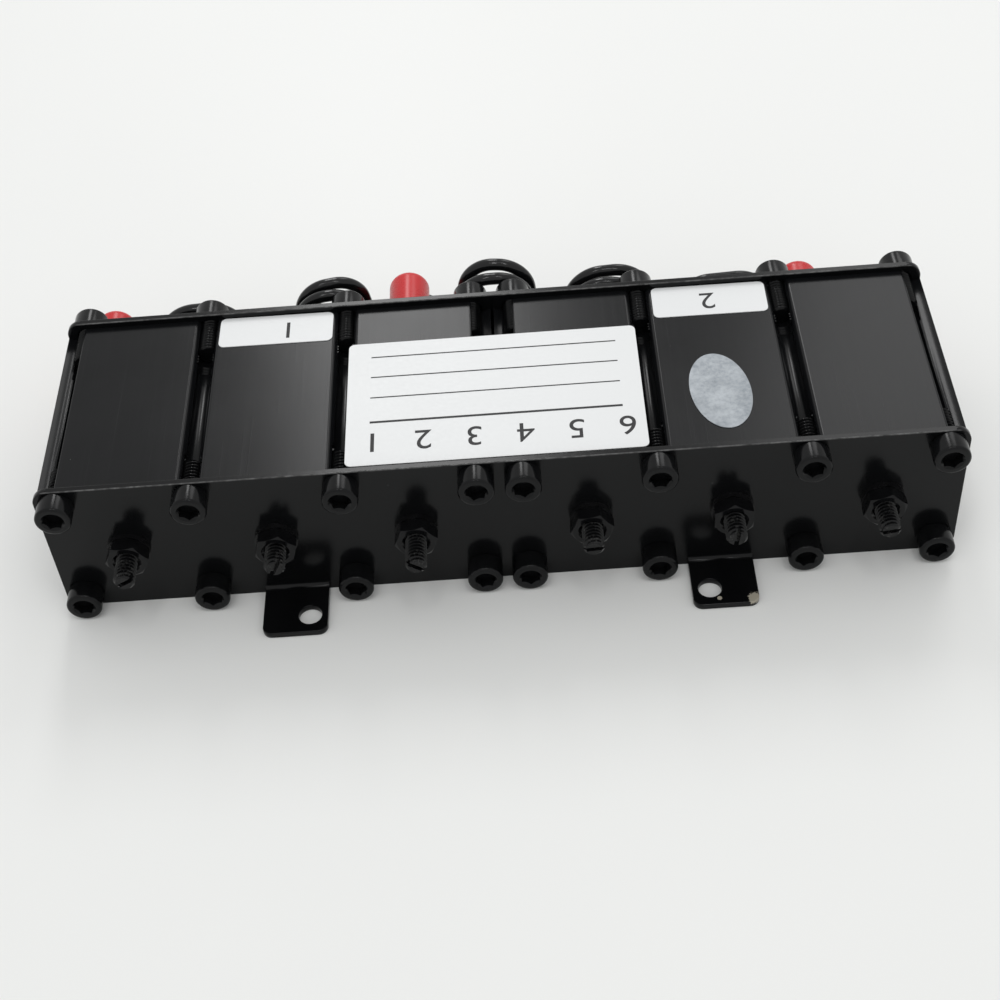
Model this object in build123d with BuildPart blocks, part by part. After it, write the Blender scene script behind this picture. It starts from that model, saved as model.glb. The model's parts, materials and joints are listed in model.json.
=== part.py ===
from build123d import *
import os

os.makedirs("parts", exist_ok=True)

# Frame: X along the long side, Y from the tuning side to the cable side,
# Z up. The origin is the middle of the whole footprint, on the resting plane.

# Case halves: two lengths of the same extruded profile, side by side.
block_length = 86.4
block_depth = 46.2
block_height = 29.2
block_gap = 0.6
cavity_end_wall = 4.92
cavity_web = 6.78
cavity_roof = 2.0
cavity_corner = 6.0

# Screw channels of the profile.
row_inset = 2.34
slot_skew = 0.14
slot_width = 4.37
slot_neck = 2.76
slot_depth = 1.3
channel_radius = 1.73
thread_hole_radius = 2.11
thread_depth_front = 8.9
thread_depth_back = 12.0
end_channel_inset = 4.05
gutter_width = 3.84
gutter_bottom = 2.75
lip_drop = 2.15
gutter_skew = 0.3
gutter_dip = 0.02
side_groove = 2.2
side_groove_margin = 6.8

# End plates.
plate_end_margin = 0.1
plate_edge_margin = 1.3
plate_thickness = 1.3
plate_corner = 3.0
screw_clearance_radius = 2.3

# Mounting tabs on the front plate.
tab_shift = -2.05
tab_width = 12.6
tab_reach = 11.85
tab_thickness = 1.3
tab_corner = 1.8
tab_bend = 0.9
tab_hole_radius = 2.25
tab_hole_shift = -2.85
tab_hole_reach = 7.65

# Cap screws, 8-32 thread.
head_radius = 3.43
head_height = 4.17
head_chamfer = 0.3
socket_flats = 3.57
socket_depth = 2.1
socket_turn_step = 23
shank_radius = 2.06
front_screw_length = 7.94
back_screw_length = 9.53

# Tuning screws, each a little off the middle of its cavity, counted outwards.
tuning_shift = (0.93, -0.15, 0.42)
tuning_drop = 0.4
rod_radius = 2.06
rod_hole_radius = 2.11
rod_length = 25.0
rod_reach = (9.1, 8.1, 9.9, 8.4, 8.4, 9.0)
rod_tip_chamfer = 0.35
driver_slot_width = 0.9
driver_slot_depth = 1.3
driver_slot_overrun = 0.8
driver_slot_turn = (28, 62, -35, 4, 82, 8)
disc_gap = 1.2
disc_thickness = 1.6
disc_chamfer = 0.2
collar_radius = 4.1
collar_thickness = 1.1
collar_shank_radius = 3.1
collar_shank_length = 3.3
press_fit_gap = 0.02
nut_flats = 7.3
nut_thickness = 2.7
nut_corner_radius = 4.09
nut_chamfer = 0.6
nut_gap = 0.02
nut_turn = (3, 15, 9, 8, 30, 16)

# Coil resonators.
wire_radius = 1.0
coil_wall_gap = 3.3
coil_pitch = 3.7
coil_turns = 5.25
coil_leg = 9.675
coil_pad_radius = 2.4
coil_pad_thickness = 0.8

# Cable links. Each loop is its shift in X from between its two ports, its
# radius, and its top and bottom in Z.
cable_radius = 1.25
core_radius = 0.8
conductor_radius = 0.4
core_length = 1.5
core_overlap = 1.0
conductor_length = 2.0
port_height = 6.9
ferrule_radius = 1.6
ferrule_length = 2.6
ferrule_flange_radius = 2.0
ferrule_flange_thickness = 0.8
ferrule_gap = 0.03
loop_reach = 6.0
loop_exit_bend = 3.0
bend_share = 0.48
even_steps = (0.0, 0.8, 1.95, 3.0, 3.9, 4.7, 5.3)
right_back_steps = (0.0, 1.4, 2.6, 3.0, 3.2, 5.6, 6.4)
left_back_steps = (0.0, 0.2, 1.2, 3.6, 5.4, 4.0, 4.2)
loop_one_to_two = (-1.95, 7.65, 24.0, 9.0)
loop_two_to_three = (-1.7, 6.25, 28.1, 15.6)
loop_tee_to_four = (0.8, 6.75, 30.0, 16.5)
loop_four_to_five = (-2.45, 7.55, 26.5, 11.4)
loop_five_to_six = (-4.1, 8.25, 22.3, 8.4)
hairpin_shift = 0.4
hairpin_radius = 7.35
hairpin_bend = 5.4
hairpin_reach = 18.8
hairpin_z = 15.5
link_wire_radius = 0.5
link_reach = 6.5
link_bend = 1.4

# Cable ports, in X from the middle of their cavity.
one_out_shift = 1.18
two_in_shift = -7.5
two_out_shift = 3.3
three_in_shift = -8.68
three_out_shift = -4.48
tee_in_shift = 2.32
tee_out_shift = 6.52
four_in_shift = -6.52
four_out_shift = 0.18
five_in_shift = -7.5
five_out_shift = -3.1
six_in_shift = -8.88

# Threaded cable connectors, in X from the middle of their cavity and in Z
# from the middle of the plate.
receive_shift = -9.82
receive_rise = 1.4
antenna_shift = -1.78
antenna_rise = 6.1
transmit_shift = -6.48
transmit_rise = 1.7
connector_thread_radius = 3.175
connector_reach = 14.2
connector_bore_radius = 2.3
connector_bore_depth = 8.5
connector_relief_radius = 2.7
connector_relief_depth = 7.0
insulator_radius = 2.06
insulator_reach = 11.8
insulator_back = 3.4
contact_radius = 0.64
contact_socket_radius = 0.47
contact_socket_depth = 3.0
contact_reach = 13.6
contact_back = 5.2
connector_nut_flats = 8.0
connector_nut_thickness = 2.2
connector_washer_radius = 4.4
connector_washer_thickness = 0.6
thread_gap = 0.03

# Dust caps.
dust_cap_radius = 4.2
dust_cap_bore_radius = 3.24
dust_cap_start = 3.1
dust_cap_end = 16.1
dust_cap_top = 1.5
dust_cap_edge = 2.0

# Labels: size, shift in X from what they lie on, gap to the case's edge.
label_thickness = 0.15
label_corner = 1.2
main_label_size = (56.6, 34.0)
main_label_shift = -0.2
main_label_front_gap = 1.3
receive_label_size = (22.9, 8.6)
receive_label_shift = 0.05
transmit_label_size = (22.7, 9.0)
transmit_label_shift = 0.05
port_label_back_gap = 0.2
port_label_turn = -0.4
oval_radii = (5.75, 10.35)
oval_shift = -0.75
oval_front_gap = 4.65
oval_turn = 5

# Where two edges or faces count as one.
match_tolerance = 0.01

# Where the top, middle and cavities fall.
plate_length = 2 * block_length + block_gap + 2 * plate_end_margin
plate_height = block_height + 2 * plate_edge_margin
mid_z = plate_height / 2
tuning_z = mid_z - tuning_drop
cavity_width = (block_length - 2 * cavity_end_wall - 2 * cavity_web) / 3
cavity_height = block_height - 2 * cavity_roof
cavity_pitch = cavity_width + cavity_web
coil_radius = cavity_width / 2 - coil_wall_gap - wire_radius
disc_radius = coil_radius - wire_radius - disc_gap
row_reach = block_height / 2 - row_inset
slot_offset = cavity_pitch / 2 + slot_skew
side_groove_height = block_height - 2 * side_groove_margin
front_reach = block_depth / 2 + plate_thickness + tab_reach
back_reach = block_depth / 2 + plate_thickness + hairpin_reach + cable_radius
middle_y = (front_reach - back_reach) / 2
front_inner = middle_y - block_depth / 2
front_outer = front_inner - plate_thickness
back_inner = middle_y + block_depth / 2
back_outer = back_inner + plate_thickness
coil_height = coil_pitch * coil_turns
coil_start = back_inner - coil_leg - coil_height
block_centre = (block_gap + block_length) / 2
top_z = mid_z + block_height / 2
half_block = block_length / 2
tab_x = block_centre + tab_shift
end_offset = half_block - end_channel_inset
top_edge = half_block - gutter_width
cavity_x = [
    side * block_centre + step * cavity_pitch
    for side in (-1, 1)
    for step in (-1, 0, 1)
]
tuning_x = [
    cavity_x[0] - tuning_shift[2],
    cavity_x[1] - tuning_shift[1],
    cavity_x[2] - tuning_shift[0],
    cavity_x[3] + tuning_shift[0],
    cavity_x[4] + tuning_shift[1],
    cavity_x[5] + tuning_shift[2],
]
tuning_points = [(x, tuning_z) for x in tuning_x]
screw_x = [
    side * block_centre + offset
    for side in (-1, 1)
    for offset in (-end_offset, -slot_offset, slot_offset, end_offset)
]
screw_points = [
    (x, mid_z + side * row_reach) for side in (-1, 1) for x in screw_x
]

# Cable ports and connectors on the back plate.
connector_points = {
    "receive": (cavity_x[0] + receive_shift, mid_z + receive_rise),
    "antenna": (cavity_x[2] + antenna_shift, mid_z + antenna_rise),
    "transmit": (cavity_x[5] + transmit_shift, mid_z + transmit_rise),
}
port_x = {
    "one_out": cavity_x[0] + one_out_shift,
    "two_in": cavity_x[1] + two_in_shift,
    "two_out": cavity_x[1] + two_out_shift,
    "three_in": cavity_x[2] + three_in_shift,
    "three_out": cavity_x[2] + three_out_shift,
    "tee_in": cavity_x[2] + tee_in_shift,
    "tee_out": cavity_x[2] + tee_out_shift,
    "four_in": cavity_x[3] + four_in_shift,
    "four_out": cavity_x[3] + four_out_shift,
    "five_in": cavity_x[4] + five_in_shift,
    "five_out": cavity_x[4] + five_out_shift,
    "six_in": cavity_x[5] + six_in_shift,
}


def upright(y):
    """Plane that faces the tuning side, at this Y."""
    return Plane.XZ.offset(-y)


# The two case halves.
for side, block_name in (
    (-1, "receive_cavity_block"),
    (1, "transmit_cavity_block"),
):
    centre = side * block_centre
    with BuildPart() as block:
        with BuildSketch(upright(back_inner)):
            with Locations((centre, mid_z)):
                Rectangle(block_length, block_height)
            with Locations(
                (centre - cavity_pitch, mid_z),
                (centre, mid_z),
                (centre + cavity_pitch, mid_z),
            ):
                RectangleRounded(
                    cavity_width,
                    cavity_height,
                    cavity_corner,
                    mode=Mode.SUBTRACT,
                )
            for up in (-1, 1):
                face_z = mid_z + up * block_height / 2
                row_z = mid_z + up * row_reach
                for slot_x in (centre - slot_offset, centre + slot_offset):
                    neck_z = face_z - up * slot_depth
                    with BuildLine():
                        Polyline(
                            (slot_x - slot_width / 2, face_z),
                            (slot_x + slot_width / 2, face_z),
                            (slot_x + slot_neck / 2, neck_z),
                            (slot_x - slot_neck / 2, neck_z),
                            close=True,
                        )
                    make_face(mode=Mode.SUBTRACT)
                with Locations(
                    (centre - end_offset, row_z),
                    (centre - slot_offset, row_z),
                    (centre + slot_offset, row_z),
                    (centre + end_offset, row_z),
                ):
                    Circle(channel_radius, mode=Mode.SUBTRACT)
                # Open gutter beside the end channels, with a hollow lip.
                for end in (-1, 1):
                    wall_x = centre + end * top_edge
                    edge_x = centre + end * half_block
                    low_z = face_z - up * gutter_bottom
                    rim_z = face_z - up * lip_drop
                    dip_x = (wall_x + edge_x) / 2 + end * gutter_skew
                    with BuildLine():
                        Polyline(
                            (edge_x, rim_z),
                            (edge_x, face_z),
                            (wall_x, face_z),
                            (wall_x, low_z),
                        )
                        ThreePointArc(
                            (wall_x, low_z),
                            (dip_x, low_z - up * gutter_dip),
                            (edge_x, rim_z),
                        )
                    make_face(mode=Mode.SUBTRACT)
            # Shallow groove along each end wall.
            with Locations(
                (centre - half_block + side_groove / 2, mid_z),
                (centre + half_block - side_groove / 2, mid_z),
            ):
                Rectangle(
                    side_groove, side_groove_height, mode=Mode.SUBTRACT
                )
        extrude(amount=block_depth)
        own_screws = [p for p in screw_points if p[0] * side > 0]
        with BuildSketch(upright(front_inner)):
            with Locations(*own_screws):
                Circle(thread_hole_radius)
        extrude(amount=-thread_depth_front, mode=Mode.SUBTRACT)
        with BuildSketch(upright(back_inner)):
            with Locations(*own_screws):
                Circle(thread_hole_radius)
        extrude(amount=thread_depth_back, mode=Mode.SUBTRACT)
        own_connectors = [
            p for p in connector_points.values() if p[0] * side > 0
        ]
        with BuildSketch(upright(back_inner)):
            with Locations(*own_connectors):
                Circle(connector_relief_radius)
        extrude(amount=connector_relief_depth, mode=Mode.SUBTRACT)
    block.part.label = block_name
    export_step(block.part, f"parts/{block_name}.step")


# Front plate with its two bent tabs.
with BuildPart() as front_plate:
    with BuildSketch(upright(front_inner)):
        with Locations((0, mid_z)):
            RectangleRounded(plate_length, plate_height, plate_corner)
        with Locations(*screw_points):
            Circle(screw_clearance_radius, mode=Mode.SUBTRACT)
        with Locations(*tuning_points):
            Circle(collar_shank_radius + press_fit_gap, mode=Mode.SUBTRACT)
    extrude(amount=plate_thickness)
    with BuildSketch(Plane.XY):
        for side in (-1, 1):
            tab_centre = side * tab_x
            tab_length = tab_reach + plate_thickness
            with Locations((tab_centre, front_inner - tab_length / 2)):
                Rectangle(tab_width, tab_length)
            with Locations(
                (side * (tab_x + tab_hole_shift), front_outer - tab_hole_reach)
            ):
                Circle(tab_hole_radius, mode=Mode.SUBTRACT)
    extrude(amount=tab_thickness)
    tab_tips = front_plate.edges().filter_by(Axis.Z).group_by(Axis.Y)[0]
    fillet(tab_tips, radius=tab_corner)
    bend_edges = [
        edge
        for edge in front_plate.edges().filter_by(Axis.X)
        if abs(edge.center().Y - front_outer) < match_tolerance
        and abs(edge.center().Z - tab_thickness) < match_tolerance
    ]
    fillet(bend_edges, radius=tab_bend)
front_plate.part.label = "front_plate"
export_step(front_plate.part, "parts/front_plate.step")


# Back plate, drilled for the connectors and the cable ferrules.
with BuildPart() as back_plate:
    with BuildSketch(upright(back_inner)):
        with Locations((0, mid_z)):
            RectangleRounded(plate_length, plate_height, plate_corner)
        with Locations(*screw_points):
            Circle(screw_clearance_radius, mode=Mode.SUBTRACT)
        with Locations(*connector_points.values()):
            Circle(connector_thread_radius + thread_gap, mode=Mode.SUBTRACT)
        with Locations(*[(x, port_height) for x in port_x.values()]):
            Circle(ferrule_radius + ferrule_gap, mode=Mode.SUBTRACT)
    extrude(amount=-plate_thickness)
back_plate.part.label = "back_plate"
export_step(back_plate.part, "parts/back_plate.step")


# Socket head screws, sixteen in each plate.
for out, screw_name, screw_length, seat_y in (
    (1, "front_plate_screws", front_screw_length, front_outer),
    (-1, "back_plate_screws", back_screw_length, back_outer),
):
    seat = upright(seat_y)
    crown = upright(seat_y - out * head_height)
    with BuildPart() as screws:
        with BuildSketch(seat):
            with Locations(*screw_points):
                Circle(head_radius)
        extrude(amount=out * head_height)
        rims = screws.edges().filter_by(GeomType.CIRCLE)
        chamfer(
            rims.group_by(Axis.Y)[0 if out == 1 else -1],
            length=head_chamfer,
        )
        with BuildSketch(seat):
            with Locations(*screw_points):
                Circle(shank_radius)
        extrude(amount=-out * screw_length)
        with BuildSketch(crown):
            for number, point in enumerate(screw_points):
                with Locations(point):
                    RegularPolygon(
                        socket_flats / 2,
                        6,
                        major_radius=False,
                        rotation=number * socket_turn_step,
                    )
        extrude(amount=-out * socket_depth, mode=Mode.SUBTRACT)
    screws.part.label = screw_name
    export_step(screws.part, f"parts/{screw_name}.step")


# Round threaded collars pressed into the front plate.
with BuildPart() as collars:
    with BuildSketch(upright(front_outer)):
        with Locations(*tuning_points):
            Circle(collar_radius)
    extrude(amount=collar_thickness)
    with BuildSketch(upright(front_outer)):
        with Locations(*tuning_points):
            Circle(collar_shank_radius)
    extrude(amount=-collar_shank_length)
    with BuildSketch(upright(front_outer - collar_thickness)):
        with Locations(*tuning_points):
            Circle(rod_hole_radius)
    extrude(
        amount=-collar_thickness - collar_shank_length, mode=Mode.SUBTRACT
    )
collars.part.label = "tuning_collars"
export_step(collars.part, "parts/tuning_collars.step")


# Tuning screws, their discs, lock nuts and coils, one set per cavity.
for number, x in enumerate(tuning_x, start=1):
    reach = rod_reach[number - 1]
    tip = front_outer - reach
    inner_end = tip + rod_length
    with BuildPart() as rod:
        with BuildSketch(upright(tip)):
            with Locations((x, tuning_z)):
                Circle(rod_radius)
        extrude(amount=-rod_length)
        chamfer(
            rod.edges().filter_by(GeomType.CIRCLE).group_by(Axis.Y)[0],
            length=rod_tip_chamfer,
        )
        with BuildSketch(upright(tip)):
            with Locations((x, tuning_z)):
                Rectangle(
                    rod_radius * 2 + driver_slot_overrun,
                    driver_slot_width,
                    rotation=driver_slot_turn[number - 1],
                )
        extrude(amount=-driver_slot_depth, mode=Mode.SUBTRACT)
    rod.part.label = f"tuning_screw_{number}"
    export_step(rod.part, f"parts/tuning_screw_{number}.step")

    with BuildPart() as disc:
        with BuildSketch(upright(inner_end)):
            with Locations((x, tuning_z)):
                Circle(disc_radius)
        extrude(amount=-disc_thickness)
        rims = disc.edges().filter_by(GeomType.CIRCLE)
        chamfer(rims, length=disc_chamfer)
    disc.part.label = f"tuning_disc_{number}"
    export_step(disc.part, f"parts/tuning_disc_{number}.step")

    nut_seat = front_outer - collar_thickness - nut_gap
    with BuildPart() as nut:
        with BuildSketch(upright(nut_seat)):
            with Locations((x, tuning_z)):
                RegularPolygon(
                    nut_flats / 2,
                    6,
                    major_radius=False,
                    rotation=30 - nut_turn[number - 1],
                )
        extrude(amount=nut_thickness)
        # Corners turned off to a cone on both faces.
        with BuildSketch(upright(nut_seat)):
            with Locations((x, tuning_z)):
                Circle(nut_corner_radius)
        extrude(amount=nut_thickness, mode=Mode.INTERSECT)
        with BuildSketch(upright(nut_seat)):
            with Locations((x, tuning_z)):
                Circle(rod_hole_radius)
        extrude(amount=nut_thickness, mode=Mode.SUBTRACT)
        mouth = (
            nut.edges()
            .filter_by(GeomType.CIRCLE)
            .filter_by(
                lambda edge: abs(edge.radius - rod_hole_radius)
                < match_tolerance
            )
            .group_by(Axis.Y)[0]
        )
        chamfer(mouth, length=nut_chamfer)
    nut.part.label = f"lock_nut_{number}"
    export_step(nut.part, f"parts/lock_nut_{number}.step")

    with BuildPart() as coil:
        with BuildLine() as wire:
            winding = Helix(
                pitch=coil_pitch,
                height=coil_height,
                radius=coil_radius,
                center=(x, coil_start, tuning_z),
                direction=(0, 1, 0),
            )
        with BuildSketch(
            Plane(origin=winding @ 0, z_dir=winding % 0)
        ):
            Circle(wire_radius)
        sweep(is_frenet=True)
        coil_end = winding @ 1
        leg = upright(coil_end.Y)
        with BuildSketch(leg):
            with Locations((coil_end.X, coil_end.Z)):
                Circle(wire_radius)
        extrude(amount=coil_end.Y - back_inner)
        with Locations(coil_end):
            Sphere(wire_radius)
        with BuildSketch(upright(back_inner)):
            with Locations((coil_end.X, coil_end.Z)):
                Circle(coil_pad_radius)
        extrude(amount=coil_pad_thickness)
    coil.part.label = f"resonator_coil_{number}"
    export_step(coil.part, f"parts/resonator_coil_{number}.step")


# Ferrules that hold the cable ends in the back plate.
port_points = [(x, port_height) for x in port_x.values()]
with BuildPart() as ferrules:
    with BuildSketch(upright(back_inner)):
        with Locations(*port_points):
            Circle(ferrule_radius)
    extrude(amount=-plate_thickness - ferrule_length)
    with BuildSketch(upright(back_outer)):
        with Locations(*port_points):
            Circle(ferrule_flange_radius)
    extrude(amount=-ferrule_flange_thickness)
    with BuildSketch(upright(back_inner)):
        with Locations(*port_points):
            Circle(cable_radius + ferrule_gap)
    extrude(
        amount=-plate_thickness - ferrule_length, mode=Mode.SUBTRACT
    )
ferrules.part.label = "cable_ferrules"
export_step(ferrules.part, "parts/cable_ferrules.step")


def coiled_route(start_x, end_x, loop, steps):
    """Route that leaves one port, makes a turn and a half and comes back."""
    shift, radius, top, bottom = loop
    left = (start_x + end_x) / 2 + shift - radius
    right = (start_x + end_x) / 2 + shift + radius
    out = [back_outer + loop_reach + step for step in steps]
    points = [
        (start_x, back_inner, port_height),
        (start_x, out[0], port_height),
        (left, out[0], top),
        (right, out[1], top),
        (right, out[2], bottom),
        (left, out[3], bottom),
        (left, out[4], top),
        (right, out[5], top),
        (end_x, out[6], port_height),
        (end_x, back_inner, port_height),
    ]
    turn = bend_share * min(right - left, top - bottom)
    bends = [loop_exit_bend] + [turn] * 6 + [loop_exit_bend]
    return points, bends


def hairpin_route(start_x, end_x):
    """Route that passes below and behind the antenna cap and comes back."""
    left = (start_x + end_x) / 2 + hairpin_shift - hairpin_radius
    right = (start_x + end_x) / 2 + hairpin_shift + hairpin_radius
    rise_y = back_outer + loop_reach
    turn_y = back_outer + hairpin_reach
    points = [
        (start_x, back_inner, port_height),
        (start_x, rise_y, port_height),
        (left, turn_y, hairpin_z),
        (right, turn_y, hairpin_z),
        (end_x, rise_y, port_height),
        (end_x, back_inner, port_height),
    ]
    bends = [loop_exit_bend, hairpin_bend, hairpin_bend, loop_exit_bend]
    return points, bends


cable_routes = {
    "cable_one_to_two": coiled_route(
        port_x["one_out"], port_x["two_in"], loop_one_to_two, even_steps
    ),
    "cable_two_to_three": coiled_route(
        port_x["two_out"],
        port_x["three_in"],
        loop_two_to_three,
        right_back_steps,
    ),
    "cable_three_to_tee": hairpin_route(
        port_x["three_out"], port_x["tee_in"]
    ),
    "cable_tee_to_four": coiled_route(
        port_x["tee_out"],
        port_x["four_in"],
        loop_tee_to_four,
        left_back_steps,
    ),
    "cable_four_to_five": coiled_route(
        port_x["four_out"], port_x["five_in"], loop_four_to_five, even_steps
    ),
    "cable_five_to_six": coiled_route(
        port_x["five_out"], port_x["six_in"], loop_five_to_six, even_steps
    ),
}

for cable_name, (points, bends) in cable_routes.items():
    with BuildPart() as cable:
        with BuildLine():
            route = FilletPolyline(*points, radius=bends)
        with BuildSketch(Plane(origin=points[0], z_dir=(0, 1, 0))):
            Circle(cable_radius)
        sweep()
        for x in (points[0][0], points[-1][0]):
            with BuildSketch(upright(back_inner + core_overlap)):
                with Locations((x, port_height)):
                    Circle(core_radius)
            extrude(amount=core_overlap + core_length)
            with BuildSketch(upright(back_inner + core_overlap)):
                with Locations((x, port_height)):
                    Circle(conductor_radius)
            extrude(amount=core_overlap + core_length + conductor_length)
    cable.part.label = cable_name
    export_step(cable.part, f"parts/{cable_name}.step")


# Coupling wires inside the cavities, from port to port.
link_start = back_inner - core_length - conductor_length
contact_end = back_inner - contact_back
receive_point = connector_points["receive"]
transmit_point = connector_points["transmit"]
link_ends = {
    "coupling_wire_1": (
        (receive_point[0], contact_end, receive_point[1]),
        (port_x["one_out"], link_start, port_height),
    ),
    "coupling_wire_2": (
        (port_x["two_in"], link_start, port_height),
        (port_x["two_out"], link_start, port_height),
    ),
    "coupling_wire_3": (
        (port_x["three_in"], link_start, port_height),
        (port_x["three_out"], link_start, port_height),
    ),
    "coupling_wire_4": (
        (port_x["four_in"], link_start, port_height),
        (port_x["four_out"], link_start, port_height),
    ),
    "coupling_wire_5": (
        (port_x["five_in"], link_start, port_height),
        (port_x["five_out"], link_start, port_height),
    ),
    "coupling_wire_6": (
        (port_x["six_in"], link_start, port_height),
        (transmit_point[0], contact_end, transmit_point[1]),
    ),
}
link_y = back_inner - link_reach
for wire_name, (first, last) in link_ends.items():
    with BuildPart() as link:
        with BuildLine():
            FilletPolyline(
                first,
                (first[0], link_y - link_bend, first[2]),
                (last[0], link_y - link_bend, last[2]),
                last,
                radius=link_bend,
            )
        with BuildSketch(Plane(origin=first, z_dir=(0, -1, 0))):
            Circle(link_wire_radius)
        sweep()
    link.part.label = wire_name
    export_step(link.part, f"parts/{wire_name}.step")

antenna_point = connector_points["antenna"]
tee_middle = (port_x["tee_in"] + port_x["tee_out"]) / 2
with BuildPart() as tee_wire:
    with BuildLine():
        FilletPolyline(
            (port_x["tee_in"], link_start, port_height),
            (port_x["tee_in"], link_y - link_bend, port_height),
            (port_x["tee_out"], link_y - link_bend, port_height),
            (port_x["tee_out"], link_start, port_height),
            radius=link_bend,
        )
    with BuildSketch(
        Plane(
            origin=(port_x["tee_in"], link_start, port_height),
            z_dir=(0, -1, 0),
        )
    ):
        Circle(link_wire_radius)
    sweep()
    with BuildLine():
        FilletPolyline(
            (tee_middle, link_y - link_bend, port_height),
            (antenna_point[0], link_y - link_bend, antenna_point[1]),
            (antenna_point[0], contact_end, antenna_point[1]),
            radius=link_bend,
        )
    branch = Vector(
        antenna_point[0] - tee_middle, 0, antenna_point[1] - port_height
    )
    with BuildSketch(
        Plane(
            origin=(tee_middle, link_y - link_bend, port_height),
            z_dir=branch,
        )
    ):
        Circle(link_wire_radius)
    sweep()
tee_wire.part.label = "antenna_tee_wire"
export_step(tee_wire.part, "parts/antenna_tee_wire.step")


# Threaded connectors, each with its own insulator, contact and cap.
for port, point in connector_points.items():
    with BuildPart() as shell:
        with BuildSketch(upright(back_inner)):
            with Locations(point):
                Circle(connector_thread_radius)
        extrude(amount=-connector_reach - plate_thickness)
        with BuildSketch(upright(back_inner)):
            with Locations(point):
                Circle(insulator_radius + press_fit_gap)
        extrude(
            amount=-plate_thickness - connector_reach, mode=Mode.SUBTRACT
        )
        with BuildSketch(upright(back_outer + connector_reach)):
            with Locations(point):
                Circle(connector_bore_radius)
        extrude(amount=connector_bore_depth, mode=Mode.SUBTRACT)
    shell.part.label = f"{port}_connector"
    export_step(shell.part, f"parts/{port}_connector.step")

    with BuildPart() as dust_cap:
        with BuildSketch(upright(back_outer + dust_cap_start)):
            with Locations(point):
                Circle(dust_cap_radius)
        extrude(amount=dust_cap_start - dust_cap_end)
        fillet(
            dust_cap.edges().filter_by(GeomType.CIRCLE).group_by(Axis.Y)[-1],
            radius=dust_cap_edge,
        )
        with BuildSketch(upright(back_outer + dust_cap_start)):
            with Locations(point):
                Circle(dust_cap_bore_radius)
        extrude(
            amount=dust_cap_start - dust_cap_end + dust_cap_top,
            mode=Mode.SUBTRACT,
        )
    dust_cap.part.label = f"{port}_dust_cap"
    export_step(dust_cap.part, f"parts/{port}_dust_cap.step")

with BuildPart() as insulators:
    with BuildSketch(upright(back_inner - insulator_back)):
        with Locations(*connector_points.values()):
            Circle(insulator_radius)
            Circle(contact_radius + press_fit_gap, mode=Mode.SUBTRACT)
    extrude(amount=-insulator_back - plate_thickness - insulator_reach)
insulators.part.label = "connector_insulators"
export_step(insulators.part, "parts/connector_insulators.step")

with BuildPart() as contacts:
    with BuildSketch(upright(back_inner - contact_back)):
        with Locations(*connector_points.values()):
            Circle(contact_radius)
    extrude(amount=-contact_back - plate_thickness - contact_reach)
    with BuildSketch(upright(back_outer + contact_reach)):
        with Locations(*connector_points.values()):
            Circle(contact_socket_radius)
    extrude(amount=contact_socket_depth, mode=Mode.SUBTRACT)
contacts.part.label = "connector_contacts"
export_step(contacts.part, "parts/connector_contacts.step")

with BuildPart() as washers:
    with BuildSketch(upright(back_outer)):
        with Locations(*connector_points.values()):
            Circle(connector_washer_radius)
            Circle(
                connector_thread_radius + thread_gap, mode=Mode.SUBTRACT
            )
    extrude(amount=-connector_washer_thickness)
washers.part.label = "connector_washers"
export_step(washers.part, "parts/connector_washers.step")

nut_face = back_outer + connector_washer_thickness
with BuildPart() as connector_nuts:
    with BuildSketch(upright(nut_face)):
        with Locations(*connector_points.values()):
            RegularPolygon(connector_nut_flats / 2, 6, major_radius=False)
            Circle(
                connector_thread_radius + thread_gap, mode=Mode.SUBTRACT
            )
    extrude(amount=-connector_nut_thickness)
connector_nuts.part.label = "connector_nuts"
export_step(connector_nuts.part, "parts/connector_nuts.step")


# Labels stuck on the top.
label_plane = Plane.XY.offset(top_z)

with BuildPart() as main_label:
    with BuildSketch(label_plane):
        with Locations(
            (
                main_label_shift,
                front_inner + main_label_front_gap + main_label_size[1] / 2,
            )
        ):
            RectangleRounded(*main_label_size, label_corner)
    extrude(amount=label_thickness)
main_label.part.label = "main_label"
export_step(main_label.part, "parts/main_label.step")

with BuildPart() as receive_label:
    with BuildSketch(label_plane):
        with Locations(
            (
                receive_label_shift - block_centre,
                back_inner - port_label_back_gap - receive_label_size[1] / 2,
            )
        ):
            RectangleRounded(
                *receive_label_size, label_corner, rotation=port_label_turn
            )
    extrude(amount=label_thickness)
receive_label.part.label = "receive_port_label"
export_step(receive_label.part, "parts/receive_port_label.step")

with BuildPart() as transmit_label:
    with BuildSketch(label_plane):
        with Locations(
            (
                block_centre + transmit_label_shift,
                back_inner - port_label_back_gap - transmit_label_size[1] / 2,
            )
        ):
            RectangleRounded(
                *transmit_label_size, label_corner, rotation=port_label_turn
            )
    extrude(amount=label_thickness)
transmit_label.part.label = "transmit_port_label"
export_step(transmit_label.part, "parts/transmit_port_label.step")

with BuildPart() as oval:
    with BuildSketch(label_plane):
        with Locations(
            (
                block_centre + oval_shift,
                front_inner + oval_front_gap + oval_radii[1],
            )
        ):
            Ellipse(*oval_radii, rotation=oval_turn)
    extrude(amount=label_thickness)
oval.part.label = "oval_sticker"
export_step(oval.part, "parts/oval_sticker.step")
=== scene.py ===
import json
from math import cos, pi, radians, sin

import bmesh
import bpy
from mathutils import Matrix, Vector


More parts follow.
